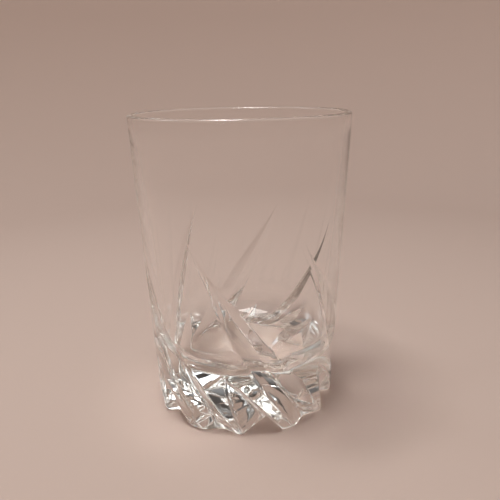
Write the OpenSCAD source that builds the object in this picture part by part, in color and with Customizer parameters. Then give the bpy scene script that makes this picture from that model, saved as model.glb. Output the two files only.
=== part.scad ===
// Cut-crystal whiskey tumbler: one piece of clear glass, open at the top.
// Millimetres, +Z up, origin at the centre of the foot, standing on z = 0.
// Azimuths are measured from the front (-Y) towards the right (+X).

/* [Body] */
// Height from the foot to the top of the rim
height = 108.3; // [95:0.1:120]
// Outside diameter at the rim
rim_d = 78; // [72:0.5:84]
// Outside diameter at the foot
foot_d = 67; // [62:0.5:72]
// Thickness of the wall at the rim
rim_wall = 1.9; // [1.6:0.1:2.4]
// Thickness of the wall where it starts to run into the base
low_wall = 4.4; // [4.2:0.1:5]
// Height of the inside floor above the table
floor_h = 19.5; // [18:0.5:24]
// Radius between the inside wall and the inside floor
floor_round = 12; // [6:0.5:14]
// Radius on the outer edge of the foot
foot_round = 1.2; // [0.8:0.1:1.6]

/* [Long cuts] */
// Number of long cuts around the glass, with a short cut beside each
cut_count = 6; // [5:1:7]
// Height at which a long cut starts as a fine point
long_top = 70; // [66:0.5:74]
// Height at which a long cut has come to its full depth
long_full = 17; // [14:0.5:20]
// Full depth of a long cut
long_depth = 3.3; // [2.8:0.1:3.4]
// Share of that depth which comes evenly from the top down, the rest in a smooth curve
long_lead = 0.35; // [0:0.05:0.5]
// Angle between a long cut's flank and the line straight out of the glass
long_flank = 67; // [64:1:70]
// Azimuth at which the first long cut starts
long_start = -27.5; // [-60:0.5:60]
// Turn of a long cut for each millimetre down, at its top
long_turn = 0.75; // [0.7:0.01:0.95]
// Extra turn for each millimetre down, squared
long_curl = 0.0041; // [0.003:0.0001:0.005]

/* [Short cuts] */
// Height at which a short cut starts on the outside of the base
short_top = 22; // [18:0.5:23]
// Azimuth at which the first short cut starts
short_start = -10; // [-14:1:-6]
// Distance of a short cut's bottom edge from the axis, at the foot
short_foot_r = 23; // [22:0.5:28]
// Azimuth of a short cut's bottom edge, at the foot
short_foot_turn = 20; // [18:1:22]
// Angle of a short cut's broad flank, seen from below
short_broad = 56; // [50:1:60]
// Angle of a short cut's steep flank, seen from below
short_steep = 13; // [10:1:18]

/* [Hidden] */
// Steps round the glass, along the rim's and the floor's arcs, and along the foot's arc
round_facets = 144;
arc_steps = 12;
foot_steps = 6;
// Rings along a long cut
cut_steps = 40;
// How far the flanks of the cuts reach out from their bottom lines
long_reach = 11;
short_reach = 33;
// How far the cuts run on below the foot, and a short cut above its start
past = 1;
short_over = 5.5;
rim_r = rim_d / 2;
foot_r = foot_d / 2;
rim_round = rim_wall / 2;
long_span = long_top - long_full;
pitch = 360 / cut_count;
low_z = floor_h + floor_round;

// Outside radius of the plain cone at height z
function outer_r(z) = foot_r + (rim_r - foot_r) * z / height;
// Inside radius of the wall, above the rounded floor corner
function inner_r(z) = outer_r(z) - low_wall
    + (low_wall - rim_wall) * (z - low_z) / (height - low_z);
// Point at distance r from the axis, at an azimuth and a height
function place(r, azimuth, z) = [r * sin(azimuth), -r * cos(azimuth), z];
// Points of an arc in the outline plane
function arc(x, y, r, from, to, steps) =
    [for (i = [0:steps]) let (a = from + (to - from) * i / steps) [x + r * cos(a), y + r * sin(a)]];
// Depth of a long cut at height z: from nothing at its top to its full depth
function long_d(z) = let (t = min(1, (long_top - z) / long_span))
    long_depth * (long_lead * t + (1 - long_lead) * (1 - cos(180 * t)) / 2);
// Azimuth of a long cut's bottom line at height z, from its own start
function long_az(z) = (long_top - z) * long_turn + pow(long_top - z, 2) * long_curl;

// Outline of the uncut glass, revolved about the axis
module blank() {
    corner_x = inner_r(low_z) - floor_round;
    rotate_extrude($fn = round_facets)
        polygon(concat(
            [[0, 0]],
            arc(foot_r - foot_round, foot_round, foot_round, -90, 0, foot_steps),
            arc(rim_r - rim_round, height - rim_round, rim_round, 0, 180, arc_steps),
            arc(corner_x, low_z, floor_round, 0, -90, arc_steps),
            [[0, floor_h]]
        ));
}

// One level triangle of a cut: its bottom point, then the ends of its two flanks
function cut_ring(bottom, reach, left_azimuth, right_azimuth) =
    [bottom,
     bottom + place(reach, left_azimuth, 0),
     bottom + place(reach, right_azimuth, 0)];

// Solid swept through a stack of triangles, from the lowest ring to the highest
module cut_solid(rings) {
    last = len(rings) - 1;
    sides = [for (k = [0:last - 1], i = [0:2])
        let (a = 3 * k + i, b = 3 * k + (i + 1) % 3)
        each [[a, a + 3, b + 3], [a, b + 3, b]]];
    polyhedron(
        points = [for (ring = rings) each ring],
        faces = concat([[0, 1, 2]], sides, [[3 * last + 2, 3 * last + 1, 3 * last]])
    );
}

// A long cut, which leans over as it comes down the wall and runs out through the foot
module long_cut() {
    cut_solid([for (k = [0:cut_steps])
        let (
            z = -past + (long_top + past) * k / cut_steps,
            azimuth = long_start + long_az(z),
            bottom = place(outer_r(z) - long_d(z), azimuth, z)
        )
        cut_ring(bottom, long_reach, azimuth - long_flank, azimuth + long_flank)]);
}

// A short cut, straight and much deeper, which leaves a notch in the foot
module short_cut() {
    high = place(outer_r(short_top), short_start, short_top);
    low = place(short_foot_r, short_foot_turn, 0);
    per_mm = (high - low) / short_top;
    cut_solid([for (bottom = [low - past * per_mm, high + short_over * per_mm])
        cut_ring(bottom, short_reach, short_foot_turn - short_broad, short_foot_turn + short_steep)]);
}

module tumbler() {
    color([0.9, 0.93, 0.93, 0.5])
        difference() {
            blank();
            for (k = [0:cut_count - 1])
                rotate([0, 0, pitch * k]) {
                    long_cut();
                    short_cut();
                }
        }
}

tumbler();
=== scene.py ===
import math

import bpy
import numpy as np
from mathutils import Matrix, Vector


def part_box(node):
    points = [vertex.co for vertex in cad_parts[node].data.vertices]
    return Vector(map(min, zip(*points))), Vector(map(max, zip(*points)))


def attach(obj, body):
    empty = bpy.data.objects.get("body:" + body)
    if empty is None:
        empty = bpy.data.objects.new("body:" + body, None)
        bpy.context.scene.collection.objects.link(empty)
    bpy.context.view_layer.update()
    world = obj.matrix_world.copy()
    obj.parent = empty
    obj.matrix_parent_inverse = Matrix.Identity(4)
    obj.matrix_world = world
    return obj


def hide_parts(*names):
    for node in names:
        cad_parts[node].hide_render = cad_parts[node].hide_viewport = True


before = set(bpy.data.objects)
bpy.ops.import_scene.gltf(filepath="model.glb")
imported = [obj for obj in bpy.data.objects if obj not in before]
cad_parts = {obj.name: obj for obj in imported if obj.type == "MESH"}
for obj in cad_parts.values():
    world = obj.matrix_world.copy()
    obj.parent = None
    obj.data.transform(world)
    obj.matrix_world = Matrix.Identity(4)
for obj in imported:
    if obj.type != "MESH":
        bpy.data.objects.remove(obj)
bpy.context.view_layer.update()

# ---------------------------------------------------------------- sizes
# Everything is in metres, in the CAD frame. The overall sizes come from the packed
# model. The wall, the floor and the wheel cuts repeat the CAD part's driving dimensions.
MM = 0.001
NODE = "tumbler"
node_low, node_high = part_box(NODE)
HEIGHT = node_high[2] - node_low[2]
RIM_R = (node_high[0] - node_low[0]) / 2
# Diameters in millimetres, used for their ratio only
FOOT_D = 67
RIM_D = 78
FOOT_R = RIM_R * FOOT_D / RIM_D
RIM_WALL = 1.9 * MM
LOW_WALL = 4.4 * MM
FLOOR_H = 19.5 * MM
FLOOR_ROUND = 12 * MM

CUTS = 6
PITCH = 2 * math.pi / CUTS
LONG_TOP = 70 * MM
LONG_FULL = 17 * MM
LONG_DEPTH = 3.3 * MM
LONG_LEAD = 0.35
LONG_FLANK = math.radians(67)
LONG_START = math.radians(-27.5)
LONG_TURN = math.radians(0.75) / MM
LONG_CURL = math.radians(0.0041) / MM**2

SHORT_TOP = 22 * MM
SHORT_START = math.radians(-10)
SHORT_FOOT_R = 23 * MM
SHORT_FOOT_TURN = math.radians(20)
SHORT_BROAD = math.radians(56)
SHORT_STEEP = math.radians(13)

# Polished edges: how far a ridge and a cut's bottom line are eased on the wall and on
# the base, and the heights between which the one runs into the other
WALL_EASE = 0.2 * MM
BASE_EASE = 0.6 * MM
EASE_LOW = 16 * MM
EASE_HIGH = 36 * MM
# How far the edge of the foot is eased: round the uncut cone, then along the cuts as well
CONE_EASE = 1.6 * MM
FOOT_EASE = 1.4 * MM
# Use wears the edges rounder at the foot: how far, and between which heights it fades out
WORN_EASE = 1.6 * MM
WORN_LOW = 0.5 * MM
WORN_HIGH = 5 * MM
# Towards a long cut's fine point the edges are eased over this share of its depth, but
# never over less than the second value
POINT_SHARE = 0.25
POINT_EASE = 0.02 * MM

# The wheel leaves each flank slightly hollow: the width it covers and its radius
FLANK_W = 12 * MM
FLANK_R = 60 * MM

# Scuffing on the foot: how high it reaches and how rough it gets
WEAR_H = 0.5 * MM
WEAR_ROUGHNESS = 0.14


# ---------------------------------------------------------------- shape of the glass
QUARTER_TURN = math.pi / 2
# The copies of a cut round the glass, counted from the first one
COPIES = range(-2, CUTS - 2)
# Search for the surface: from a radius that no cut reaches to this far past the cone,
# halving the gap so many times. A point is outside where the field is above OUTSIDE.
CORE_R = 8 * MM
PAST_CONE = 1 * MM
HALVINGS = 34
OUTSIDE = 1e-10
# Step over which the slope of the field is taken
SLOPE_STEP = 0.004 * MM


def outer_r(z):
    """Outside radius of the plain cone at height z."""
    return FOOT_R + (RIM_R - FOOT_R) * z / HEIGHT


def inner_r(z):
    """Inside radius of the straight wall at height z."""
    low_z = FLOOR_H + FLOOR_ROUND
    return outer_r(z) - LOW_WALL + (LOW_WALL - RIM_WALL) * (z - low_z) / (HEIGHT - low_z)


def heading(azimuth):
    """Unit vectors pointing straight out at an azimuth, measured from -Y towards +X."""
    return np.stack([np.sin(azimuth), -np.cos(azimuth)], axis=-1)


def soft_max(a, b, ease):
    """The larger of a and b, with the corner between them rounded off."""
    blend = np.maximum(ease - np.abs(a - b), 0) / ease
    return np.maximum(a, b) + blend**2 * ease / 4


def soft_min(a, b, ease):
    """The smaller of a and b, rounded off in the same way."""
    return -soft_max(-a, -b, ease)


def smooth_step(value, start, stop):
    """0 up to start, 1 from stop on, and a smooth rise between them."""
    t = np.clip((value - start) / (stop - start), 0, 1)
    return t * t * (3 - 2 * t)


def long_depth(z):
    """Depth of a long cut at height z, below 0 above its top."""
    t = np.clip((LONG_TOP - z) / (LONG_TOP - LONG_FULL), None, 1)
    curve = (1 - np.cos(np.pi * t)) / 2 * np.sign(t)
    return LONG_DEPTH * (LONG_LEAD * t + (1 - LONG_LEAD) * curve)


def long_bottom(z):
    """Distance from the axis and azimuth of a long cut's bottom line at height z."""
    down = LONG_TOP - z
    return outer_r(z) - long_depth(z), LONG_START + down * LONG_TURN + down**2 * LONG_CURL


SHORT_LOW = SHORT_FOOT_R * heading(SHORT_FOOT_TURN)
SHORT_HIGH = outer_r(SHORT_TOP) * heading(SHORT_START)


def short_bottom(z):
    """Point of a short cut's bottom line at height z."""
    t = (z / SHORT_TOP)[..., None]
    return SHORT_LOW + (SHORT_HIGH - SHORT_LOW) * t


def edge_ease(z):
    """How far the edges are eased at height z: most at the foot, least at a fine point."""
    ease = BASE_EASE + (WALL_EASE - BASE_EASE) * smooth_step(z, EASE_LOW, EASE_HIGH)
    ease = ease + (WORN_EASE - ease) * (1 - smooth_step(z, WORN_LOW, WORN_HIGH))
    return np.minimum(ease, np.maximum(POINT_SHARE * long_depth(z), POINT_EASE))


def hollow_flank(off, facing):
    """Depth inside a flank facing an azimuth, hollowed between its two edges."""
    flat = np.sum(off * heading(facing), axis=-1)
    along = np.sqrt(np.maximum(np.sum(off**2, axis=-1) - flat**2, 0))
    return flat + np.maximum(along * (FLANK_W - along), 0) / (2 * FLANK_R)


def wedge(point, bottom, left, right, ease):
    """How deep a point is inside a V cut whose flanks face the azimuths left and right."""
    off = point - bottom
    return soft_min(hollow_flank(off, left), hollow_flank(off, right), ease)


def glass_field(x, y, z):
    """Below 0 within the cut outside of the glass, above 0 in a cut or in the air around
    it. The inside of the cup is not part of it."""
    point = np.stack([x, y], axis=-1)
    field = soft_max(np.hypot(x, y) - outer_r(z), -z, CONE_EASE)
    bottom_r, bottom_az = long_bottom(z)
    ease = edge_ease(z)
    for k in COPIES:
        turn = k * PITCH
        azimuth = bottom_az + turn
        cut = wedge(
            point,
            bottom_r[..., None] * heading(azimuth),
            azimuth + QUARTER_TURN - LONG_FLANK,
            azimuth - QUARTER_TURN + LONG_FLANK,
            ease,
        )
        field = soft_max(field, cut, ease)
        spin = np.array([[math.cos(turn), math.sin(turn)], [-math.sin(turn), math.cos(turn)]])
        cut = wedge(
            point,
            short_bottom(z) @ spin,
            SHORT_FOOT_TURN + turn + QUARTER_TURN - SHORT_BROAD,
            SHORT_FOOT_TURN + turn - QUARTER_TURN + SHORT_STEEP,
            ease,
        )
        field = soft_max(field, cut, ease)
    return soft_max(field, -z, FOOT_EASE)


def surface_r(azimuth, z):
    """Distance from the axis to the outside surface, found by halving an interval."""
    out = heading(azimuth)
    low = np.full_like(z, CORE_R)
    high = outer_r(z) + PAST_CONE
    for _ in range(HALVINGS):
        middle = (low + high) / 2
        outside = glass_field(out[..., 0] * middle, out[..., 1] * middle, z) > OUTSIDE
        high = np.where(outside, middle, high)
        low = np.where(outside, low, middle)
    return (low + high) / 2


def surface_normal(x, y, z):
    """Unit normals of the outside surface, from the slope of the field."""
    d = SLOPE_STEP
    slope = np.stack(
        [
            glass_field(x + d, y, z) - glass_field(x - d, y, z),
            glass_field(x, y + d, z) - glass_field(x, y - d, z),
            glass_field(x, y, z + d) - glass_field(x, y, z - d),
        ],
        axis=-1,
    )
    return slope / np.linalg.norm(slope, axis=-1, keepdims=True)


# ---------------------------------------------------------------- columns of the mesh
# A sector has a long cut's left edge, bottom line and right edge, then a short cut's
LINES = 6
# Above a short cut its three lines fan out between the long cuts: which line, and the
# share of the way across where it ends up, reached between these heights
SHORT_SHARES = ((3, 0.25), (4, 0.5), (5, 0.75))
FAN_LOW = SHORT_TOP - 1.5 * MM
FAN_HIGH = SHORT_TOP + 14 * MM
# Columns stand at these distances from a line, with others evenly between two lines
EDGE_STEPS = np.array([-0.42, -0.14, 0, 0.14, 0.42]) * MM
GAP_COLUMNS = 5
# Lines that run together are pushed this far apart, a pair at a time, in so many passes
MIN_GAP = 1.1 * MM
GAP_PASSES = 3
# Between these heights the columns change over to standing evenly round the glass,
# because there are no cuts above
EVEN_LOW = LONG_TOP + 2 * MM
EVEN_HIGH = LONG_TOP + 16 * MM


def edge_angle(bottom_r, bottom_az, facing, radius):
    """Angle between where a flank faces and where it meets the cone."""
    return np.arccos(np.clip(bottom_r * np.cos(bottom_az - facing) / radius, -1, 1))


def cut_lines(z):
    """Azimuths of a sector's edges and bottom lines at height z, from left to right."""
    radius = outer_r(z)
    bottom_r, middle = long_bottom(z)
    half = np.arccos(np.clip(bottom_r * math.sin(LONG_FLANK) / radius, -1, 1))
    half = np.maximum(half - (QUARTER_TURN - LONG_FLANK), 0)
    low_line = short_bottom(z)
    short_az = np.arctan2(low_line[..., 0], -low_line[..., 1])
    short_r = np.hypot(low_line[..., 0], low_line[..., 1])
    faces_right = SHORT_FOOT_TURN + QUARTER_TURN - SHORT_BROAD
    faces_left = SHORT_FOOT_TURN - QUARTER_TURN + SHORT_STEEP
    broad = faces_right - edge_angle(short_r, short_az, faces_right, radius)
    steep = faces_left + edge_angle(short_r, short_az, faces_left, radius)
    low = middle - PITCH
    lines = [low - half, low, low + half, broad, short_az, steep]
    fan = smooth_step(z, FAN_LOW, FAN_HIGH)
    for i, share in SHORT_SHARES:
        even = lines[2] * (1 - share) + (lines[0] + PITCH) * share
        above = even * fan + SHORT_START * (1 - fan)
        lines[i] = np.where(z > SHORT_TOP, above, lines[i] * (1 - fan) + even * fan)
    return np.stack(lines, axis=-1)


def line_after(lines, i):
    """Azimuth of the line to the right of line i, which may be in the next sector."""
    return lines[..., i + 1] if i < LINES - 1 else lines[..., 0] + PITCH


def sector_columns(z):
    """Azimuths of one sector's mesh columns at height z: a close group along each line."""
    radius = outer_r(z)[..., None]
    lines = cut_lines(z)
    gap = MIN_GAP / radius[..., 0]
    for _ in range(GAP_PASSES):
        for i in range(LINES):
            lack = np.maximum(gap - (line_after(lines, i) - lines[..., i]), 0) / 2
            lines[..., i] -= lack
            lines[..., (i + 1) % LINES] += lack
    groups = []
    for i in range(LINES):
        group = lines[..., i, None] + EDGE_STEPS / radius
        start = group[..., -1]
        stop = line_after(lines, i) + EDGE_STEPS[0] / radius[..., 0]
        share = (np.arange(GAP_COLUMNS) + 1) / (GAP_COLUMNS + 1)
        fill = start[..., None] + (stop - start)[..., None] * share
        groups.append(np.concatenate([group, fill], axis=-1))
    columns = np.concatenate(groups, axis=-1)
    count = columns.shape[-1]
    even = LONG_START - PITCH + PITCH * np.arange(count) / count
    level = smooth_step(z, EVEN_LOW, EVEN_HIGH)[..., None]
    return columns * (1 - level) + even * level


# ---------------------------------------------------------------- rows of the mesh
# Outside: rows in the foot's eased edge, then evenly spaced ones on the base and up along
# the long cuts, each with the gap before the first, the spacing and the height that they
# stop at, and last a gap and the rows up to the rim
FOOT_ROWS = 9
BASE_GAP, BASE_ROW, BASE_STOP = 0.3 * MM, 0.45 * MM, SHORT_TOP + 3 * MM
WALL_GAP, WALL_ROW, WALL_STOP = 0.6 * MM, 0.75 * MM, LONG_TOP + 2 * MM
TOP_GAP, TOP_ROWS = 2 * MM, 14
# Inside: rows over the rim, down the wall, round the corner and across the floor
RIM_ROWS = 15
INSIDE_ROWS = 14
CORNER_ROWS = 28
FLOOR_ROWS = 9
# Under the foot: rings at these shares of its radius
FOOT_RINGS = (0.25, 0.5, 0.75, 0.9, 0.97)


def heights():
    """Heights of the mesh rows on the outside, from the foot to below the rim."""
    eased = FOOT_EASE * (1 - np.cos(np.linspace(0, QUARTER_TURN, FOOT_ROWS)))
    low = np.arange(FOOT_EASE + BASE_GAP, BASE_STOP, BASE_ROW)
    middle = np.arange(low[-1] + WALL_GAP, WALL_STOP, WALL_ROW)
    high = np.linspace(middle[-1] + TOP_GAP, HEIGHT - RIM_WALL / 2, TOP_ROWS)
    return np.concatenate([eased, low, middle, high])


def inside_outline():
    """Outline from the rim's outside edge over the rim and down to the floor's centre,
    as distance from the axis, height, and the normal in that plane."""
    rim = RIM_WALL / 2
    turns = np.linspace(0, math.pi, RIM_ROWS)[1:]
    points = [
        (RIM_R - rim + rim * math.cos(a), HEIGHT - rim + rim * math.sin(a)) for a in turns
    ]
    normals = [(math.cos(a), math.sin(a)) for a in turns]
    low_z = FLOOR_H + FLOOR_ROUND
    corner_r = inner_r(low_z) - FLOOR_ROUND
    wall_top = points[-1]
    wall_low = (corner_r + FLOOR_ROUND, low_z)
    run = Vector((wall_low[0] - wall_top[0], wall_low[1] - wall_top[1])).normalized()
    for t in np.linspace(0, 1, INSIDE_ROWS)[1:-1]:
        points.append(tuple(wall_top[i] + (wall_low[i] - wall_top[i]) * t for i in range(2)))
        normals.append((run[1], -run[0]))
    for a in np.linspace(0, QUARTER_TURN, CORNER_ROWS):
        points.append(
            (corner_r + FLOOR_ROUND * math.cos(a), low_z - FLOOR_ROUND * math.sin(a))
        )
        normals.append((-math.cos(a), math.sin(a)))
    for t in np.linspace(1, 0, FLOOR_ROWS)[1:-1]:
        points.append((corner_r * t, FLOOR_H))
        normals.append((0, 1))
    return np.array(points), np.array(normals)


def glass_mesh(name):
    """The whole glass as one closed mesh: foot, cut outside, rim, inside wall and floor."""
    z = heights()
    sector = sector_columns(z)
    azimuth_one, z_one = sector, np.repeat(z[:, None], sector.shape[1], axis=1)
    r_one = surface_r(azimuth_one, z_one)
    out = heading(azimuth_one)
    normal_one = surface_normal(out[..., 0] * r_one, out[..., 1] * r_one, z_one)
    normal_one[0] = (0, 0, -1)

    rows, row_normals = [], []
    count = sector.shape[1] * CUTS

    def all_round(row_az, row_r, row_z, row_n):
        """One ring of the mesh: the sector's columns repeated round the axis."""
        ring, ring_n = [], []
        for k in range(CUTS):
            turn = k * PITCH
            c, s = math.cos(turn), math.sin(turn)
            spin = np.array([[c, s, 0], [-s, c, 0], [0, 0, 1]])
            flat = heading(row_az) * row_r[:, None]
            ring.append(np.concatenate([flat, row_z[:, None]], axis=1) @ spin)
            ring_n.append(row_n @ spin)
        rows.append(np.concatenate(ring))
        row_normals.append(np.concatenate(ring_n))

    down = np.tile([0.0, 0.0, -1.0], (sector.shape[1], 1))
    for share in FOOT_RINGS:
        all_round(azimuth_one[0], r_one[0] * share, z_one[0] * 0, down)
    for i in range(len(z)):
        all_round(azimuth_one[i], r_one[i], z_one[i], normal_one[i])
    even = azimuth_one[-1]
    points, normals = inside_outline()
    for (r, height), (n_r, n_z) in zip(points, normals):
        flat = heading(even) * n_r
        n = np.concatenate([flat, np.full((len(even), 1), n_z)], axis=1)
        all_round(even, np.full(len(even), r), np.full(len(even), height), n)

    vertices = np.concatenate(rows + [np.array([[0, 0, 0], [0, 0, FLOOR_H]])])
    vertex_normals = np.concatenate(row_normals + [np.array([[0.0, 0, -1], [0, 0, 1]])])
    faces = []
    for i in range(len(rows) - 1):
        for j in range(count):
            a, b = i * count + j, i * count + (j + 1) % count
            faces.append((a, b, b + count, a + count))
    foot_centre, floor_centre = len(vertices) - 2, len(vertices) - 1
    last = (len(rows) - 1) * count
    for j in range(count):
        faces.append((foot_centre, (j + 1) % count, j))
        faces.append((floor_centre, last + j, last + (j + 1) % count))
    mesh = bpy.data.meshes.new(name)
    mesh.from_pydata(vertices.tolist(), [], faces)
    mesh.validate()
    mesh.polygons.foreach_set("use_smooth", np.ones(len(mesh.polygons), dtype=bool))
    mesh.normals_split_custom_set_from_vertices(vertex_normals.tolist())
    mesh.update()
    return mesh


# ---------------------------------------------------------------- materials
GLASS_IOR = 1.52
# Roughness of the dullest polished patches, and the noise values between which they fade in
POLISH_ROUGHNESS = 0.025
PATCH_LOW, PATCH_HIGH = 0.45, 0.75
# How much light the glass lets through, by colour, and how strongly it absorbs the rest
TINT = (0.86, 0.90, 0.84, 1)
TINT_DENSITY = 4.0
STAGE_COLOUR = (0.55, 0.435, 0.38, 1)
STAGE_ROUGHNESS = 0.95


def node_material(name):
    """A new material with its node tree, its shader and its output."""
    material = bpy.data.materials.new(name)
    material.use_nodes = True
    tree = material.node_tree
    shader = next(n for n in tree.nodes if n.type == "BSDF_PRINCIPLED")
    output = next(n for n in tree.nodes if n.type == "OUTPUT_MATERIAL")
    return material, tree, shader, output


def add(tree, kind, **settings):
    """A new node, with its sockets or its own settings filled in."""
    node = tree.nodes.new(kind)
    for key, value in settings.items():
        if key in node.inputs:
            node.inputs[key].default_value = value
        else:
            setattr(node, key, value)
    return node


def crystal_material():
    """Clear crystal: polished, faintly wavy as blown glass is, a trace of grey-green."""
    material, tree, shader, output = node_material("clear_crystal_glass")
    shader.inputs["Base Color"].default_value = (1, 1, 1, 1)
    shader.inputs["Transmission Weight"].default_value = 1
    shader.inputs["IOR"].default_value = GLASS_IOR
    place = add(tree, "ShaderNodeTexCoord")
    # polish: almost perfect, with slightly duller patches
    patches = add(tree, "ShaderNodeTexNoise", Scale=60.0, Detail=4.0)
    polish = add(tree, "ShaderNodeMapRange")
    polish.inputs["From Min"].default_value = PATCH_LOW
    polish.inputs["From Max"].default_value = PATCH_HIGH
    polish.inputs["To Min"].default_value = 0.0
    polish.inputs["To Max"].default_value = POLISH_ROUGHNESS
    tree.links.new(place.outputs["Object"], patches.inputs["Vector"])
    tree.links.new(patches.outputs["Fac"], polish.inputs["Value"])
    # wear: a scuffed ring where the foot rubs on tables, fading out just above it
    split = add(tree, "ShaderNodeSeparateXYZ")
    scuffs = add(tree, "ShaderNodeTexNoise", Scale=900.0, Detail=3.0)
    near_foot = add(tree, "ShaderNodeMapRange")
    near_foot.inputs["From Min"].default_value = 0.0
    near_foot.inputs["From Max"].default_value = WEAR_H
    near_foot.inputs["To Min"].default_value = WEAR_ROUGHNESS
    near_foot.inputs["To Max"].default_value = 0.0
    wear = add(tree, "ShaderNodeMath", operation="MULTIPLY_ADD")
    tree.links.new(place.outputs["Object"], split.inputs["Vector"])
    tree.links.new(place.outputs["Object"], scuffs.inputs["Vector"])
    tree.links.new(split.outputs["Z"], near_foot.inputs["Value"])
    tree.links.new(near_foot.outputs["Result"], wear.inputs[0])
    tree.links.new(scuffs.outputs["Fac"], wear.inputs[1])
    tree.links.new(polish.outputs["Result"], wear.inputs[2])
    tree.links.new(wear.outputs["Value"], shader.inputs["Roughness"])
    # waviness: soft swells a few centimetres long
    swell = add(tree, "ShaderNodeTexNoise", Scale=28.0, Detail=1.0)
    bump = add(tree, "ShaderNodeBump", Strength=0.06, Distance=0.0006)
    tree.links.new(place.outputs["Object"], swell.inputs["Vector"])
    tree.links.new(swell.outputs["Fac"], bump.inputs["Height"])
    tree.links.new(bump.outputs["Normal"], shader.inputs["Normal"])
    # a trace of grey-green where the glass is thick
    tint = add(tree, "ShaderNodeVolumeAbsorption", Color=TINT, Density=TINT_DENSITY)
    tree.links.new(tint.outputs["Volume"], output.inputs["Volume"])
    return material


def stage_material():
    """Plain pale stage: a matt surface in a pale, slightly pink beige."""
    material, tree, shader, _ = node_material("stage_pale")
    shader.inputs["Base Color"].default_value = STAGE_COLOUR
    shader.inputs["Roughness"].default_value = STAGE_ROUGHNESS
    shader.inputs["Specular IOR Level"].default_value = 0.1
    return material


# ---------------------------------------------------------------- pieces
tumbler = bpy.data.objects.new("tumbler_glass", glass_mesh("tumbler_glass"))
bpy.context.scene.collection.objects.link(tumbler)
tumbler.data.materials.append(crystal_material())
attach(tumbler, "root")
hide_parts(NODE)


# ---------------------------------------------------------------- stage
# A flat round floor, the radius of the curve at its edge, and the top of the wall
STAGE_FLAT_R = 0.36
STAGE_CURVE_R = 0.2
STAGE_TOP = 0.44
# Rings of the flat floor at these shares of its radius, then those of the curve
STAGE_RINGS = (0.02, 0.1, 0.25, 0.5, 0.75, 1)
CURVE_RINGS = 25
# The stage lies this far under the foot, so that the two faces don't share a plane
STAGE_DROP = 0.00002


def stage_mesh(name, flat_r, curve_r, wall_top, steps=96):
    """A round floor that curves up into a wall, the same from every side."""
    outline = [(flat_r * t, 0) for t in STAGE_RINGS]
    outline += [
        (flat_r + curve_r * math.sin(a), curve_r * (1 - math.cos(a)))
        for a in np.linspace(0, QUARTER_TURN, CURVE_RINGS)[1:]
    ]
    outline += [(flat_r + curve_r, wall_top)]
    vertices = [(0, 0, 0)]
    for r, z in outline:
        vertices += [
            (r * math.cos(2 * math.pi * j / steps), r * math.sin(2 * math.pi * j / steps), z)
            for j in range(steps)
        ]
    faces = [(0, 1 + j, 1 + (j + 1) % steps) for j in range(steps)]
    for i in range(len(outline) - 1):
        for j in range(steps):
            a, b = 1 + i * steps + j, 1 + i * steps + (j + 1) % steps
            faces.append((a, a + steps, b + steps, b))
    mesh = bpy.data.meshes.new(name)
    mesh.from_pydata(vertices, [], faces)
    mesh.validate()
    mesh.polygons.foreach_set("use_smooth", np.ones(len(mesh.polygons), dtype=bool))
    mesh.update()
    return mesh


floor_mesh = stage_mesh("stage_floor", STAGE_FLAT_R, STAGE_CURVE_R, STAGE_TOP)
floor = bpy.data.objects.new("stage_floor", floor_mesh)
floor.location.z = node_low[2] - STAGE_DROP
bpy.context.scene.collection.objects.link(floor)
floor.data.materials.append(stage_material())


# ---------------------------------------------------------------- light
GLASS_MIDDLE = (0, 0, HEIGHT / 2)
# The room round the glass: how bright it is, where its dim colour starts and stops turning
# into the ceiling's, from 0 for level to 1 for straight up, and the two colours
SKY_STRENGTH = 0.3
SKY_LOW, SKY_HIGH = 0.68, 0.93
ROOM_COLOUR = (0.058, 0.055, 0.053, 1)
CEILING_COLOUR = (0.88, 0.9, 0.93, 1)


def area_light(name, place, size, power, colour):
    """A rectangular light at a place, aimed at the middle of the glass."""
    data = bpy.data.lights.new(name, "AREA")
    data.shape = "RECTANGLE"
    data.size, data.size_y = size
    data.energy = power
    data.color = colour
    light = bpy.data.objects.new(name, data)
    light.location = place
    aim = Vector(GLASS_MIDDLE) - Vector(place)
    light.rotation_euler = aim.to_track_quat("-Z", "Y").to_euler()
    bpy.context.scene.collection.objects.link(light)


area_light(
    "light_overhead",
    place=(-0.11, -0.07, 0.8),
    size=(0.34, 0.26),
    power=4.7,
    colour=(1.0, 0.99, 0.97),
)
area_light(
    "light_window",
    place=(-0.8, 0.1, 0.75),
    size=(0.3, 0.5),
    power=1.3,
    colour=(0.9, 0.95, 1.0),
)


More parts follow.
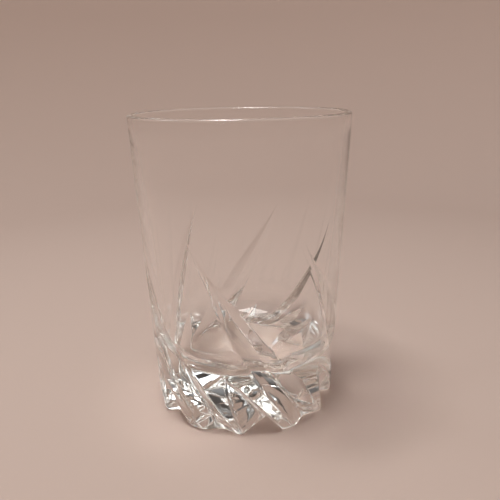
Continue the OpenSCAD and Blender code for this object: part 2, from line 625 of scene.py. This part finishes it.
def dome_light():
    """A dim room below and a bright ceiling above."""
    world = bpy.data.worlds.new("studio")
    bpy.context.scene.world = world
    world.use_nodes = True
    tree = world.node_tree
    background = tree.nodes["Background"]
    direction = add(tree, "ShaderNodeTexCoord")
    parts = add(tree, "ShaderNodeSeparateXYZ")
    ramp = add(tree, "ShaderNodeValToRGB")
    ramp.color_ramp.elements[0].position = SKY_LOW
    ramp.color_ramp.elements[0].color = ROOM_COLOUR
    ramp.color_ramp.elements[1].position = SKY_HIGH
    ramp.color_ramp.elements[1].color = CEILING_COLOUR
    tree.links.new(direction.outputs["Generated"], parts.inputs["Vector"])
    tree.links.new(parts.outputs["Z"], ramp.inputs["Fac"])
    tree.links.new(ramp.outputs["Color"], background.inputs["Color"])
    background.inputs["Strength"].default_value = SKY_STRENGTH


dome_light()

# Light passes many facets before it is lost, and what the glass focuses stays sharp
paths = bpy.context.scene.cycles
paths.max_bounces = 40
paths.glossy_bounces = 32
paths.transmission_bounces = 40
paths.blur_glossy = 0
# Colours are shown as they are, with no film curve
bpy.context.scene.view_settings.view_transform = "Standard"


# ---------------------------------------------------------------- camera
# Found by matching the rim, the foot and the axis. The place is in rim radii, the angles
# in degrees, the lens and the sensor in millimetres. A tilt of 0 looks straight down.
CAMERA_X, CAMERA_Y, CAMERA_Z = 0.0710, -5.330, 3.0545
CAMERA_TILT = 90 - 16.44
CAMERA_ROLL = -1.01
CAMERA_LENS = 41.65
CAMERA_SENSOR = 36


def add_camera():
    """The camera, at the photograph's viewing angle."""
    data = bpy.data.cameras.new("camera")
    data.sensor_width = CAMERA_SENSOR
    data.lens = CAMERA_LENS
    data.dof.use_dof = False
    data.clip_start, data.clip_end = 0.01, 20
    camera = bpy.data.objects.new("camera", data)
    camera.location = (CAMERA_X * RIM_R, CAMERA_Y * RIM_R, CAMERA_Z * RIM_R)
    tilt = math.radians(CAMERA_TILT)
    roll = math.radians(CAMERA_ROLL)
    camera.matrix_world = (
        Matrix.Translation(camera.location)
        @ Matrix.Rotation(tilt, 4, "X")
        @ Matrix.Rotation(roll, 4, "Z")
    )
    bpy.context.scene.collection.objects.link(camera)
    bpy.context.scene.camera = camera


add_camera()
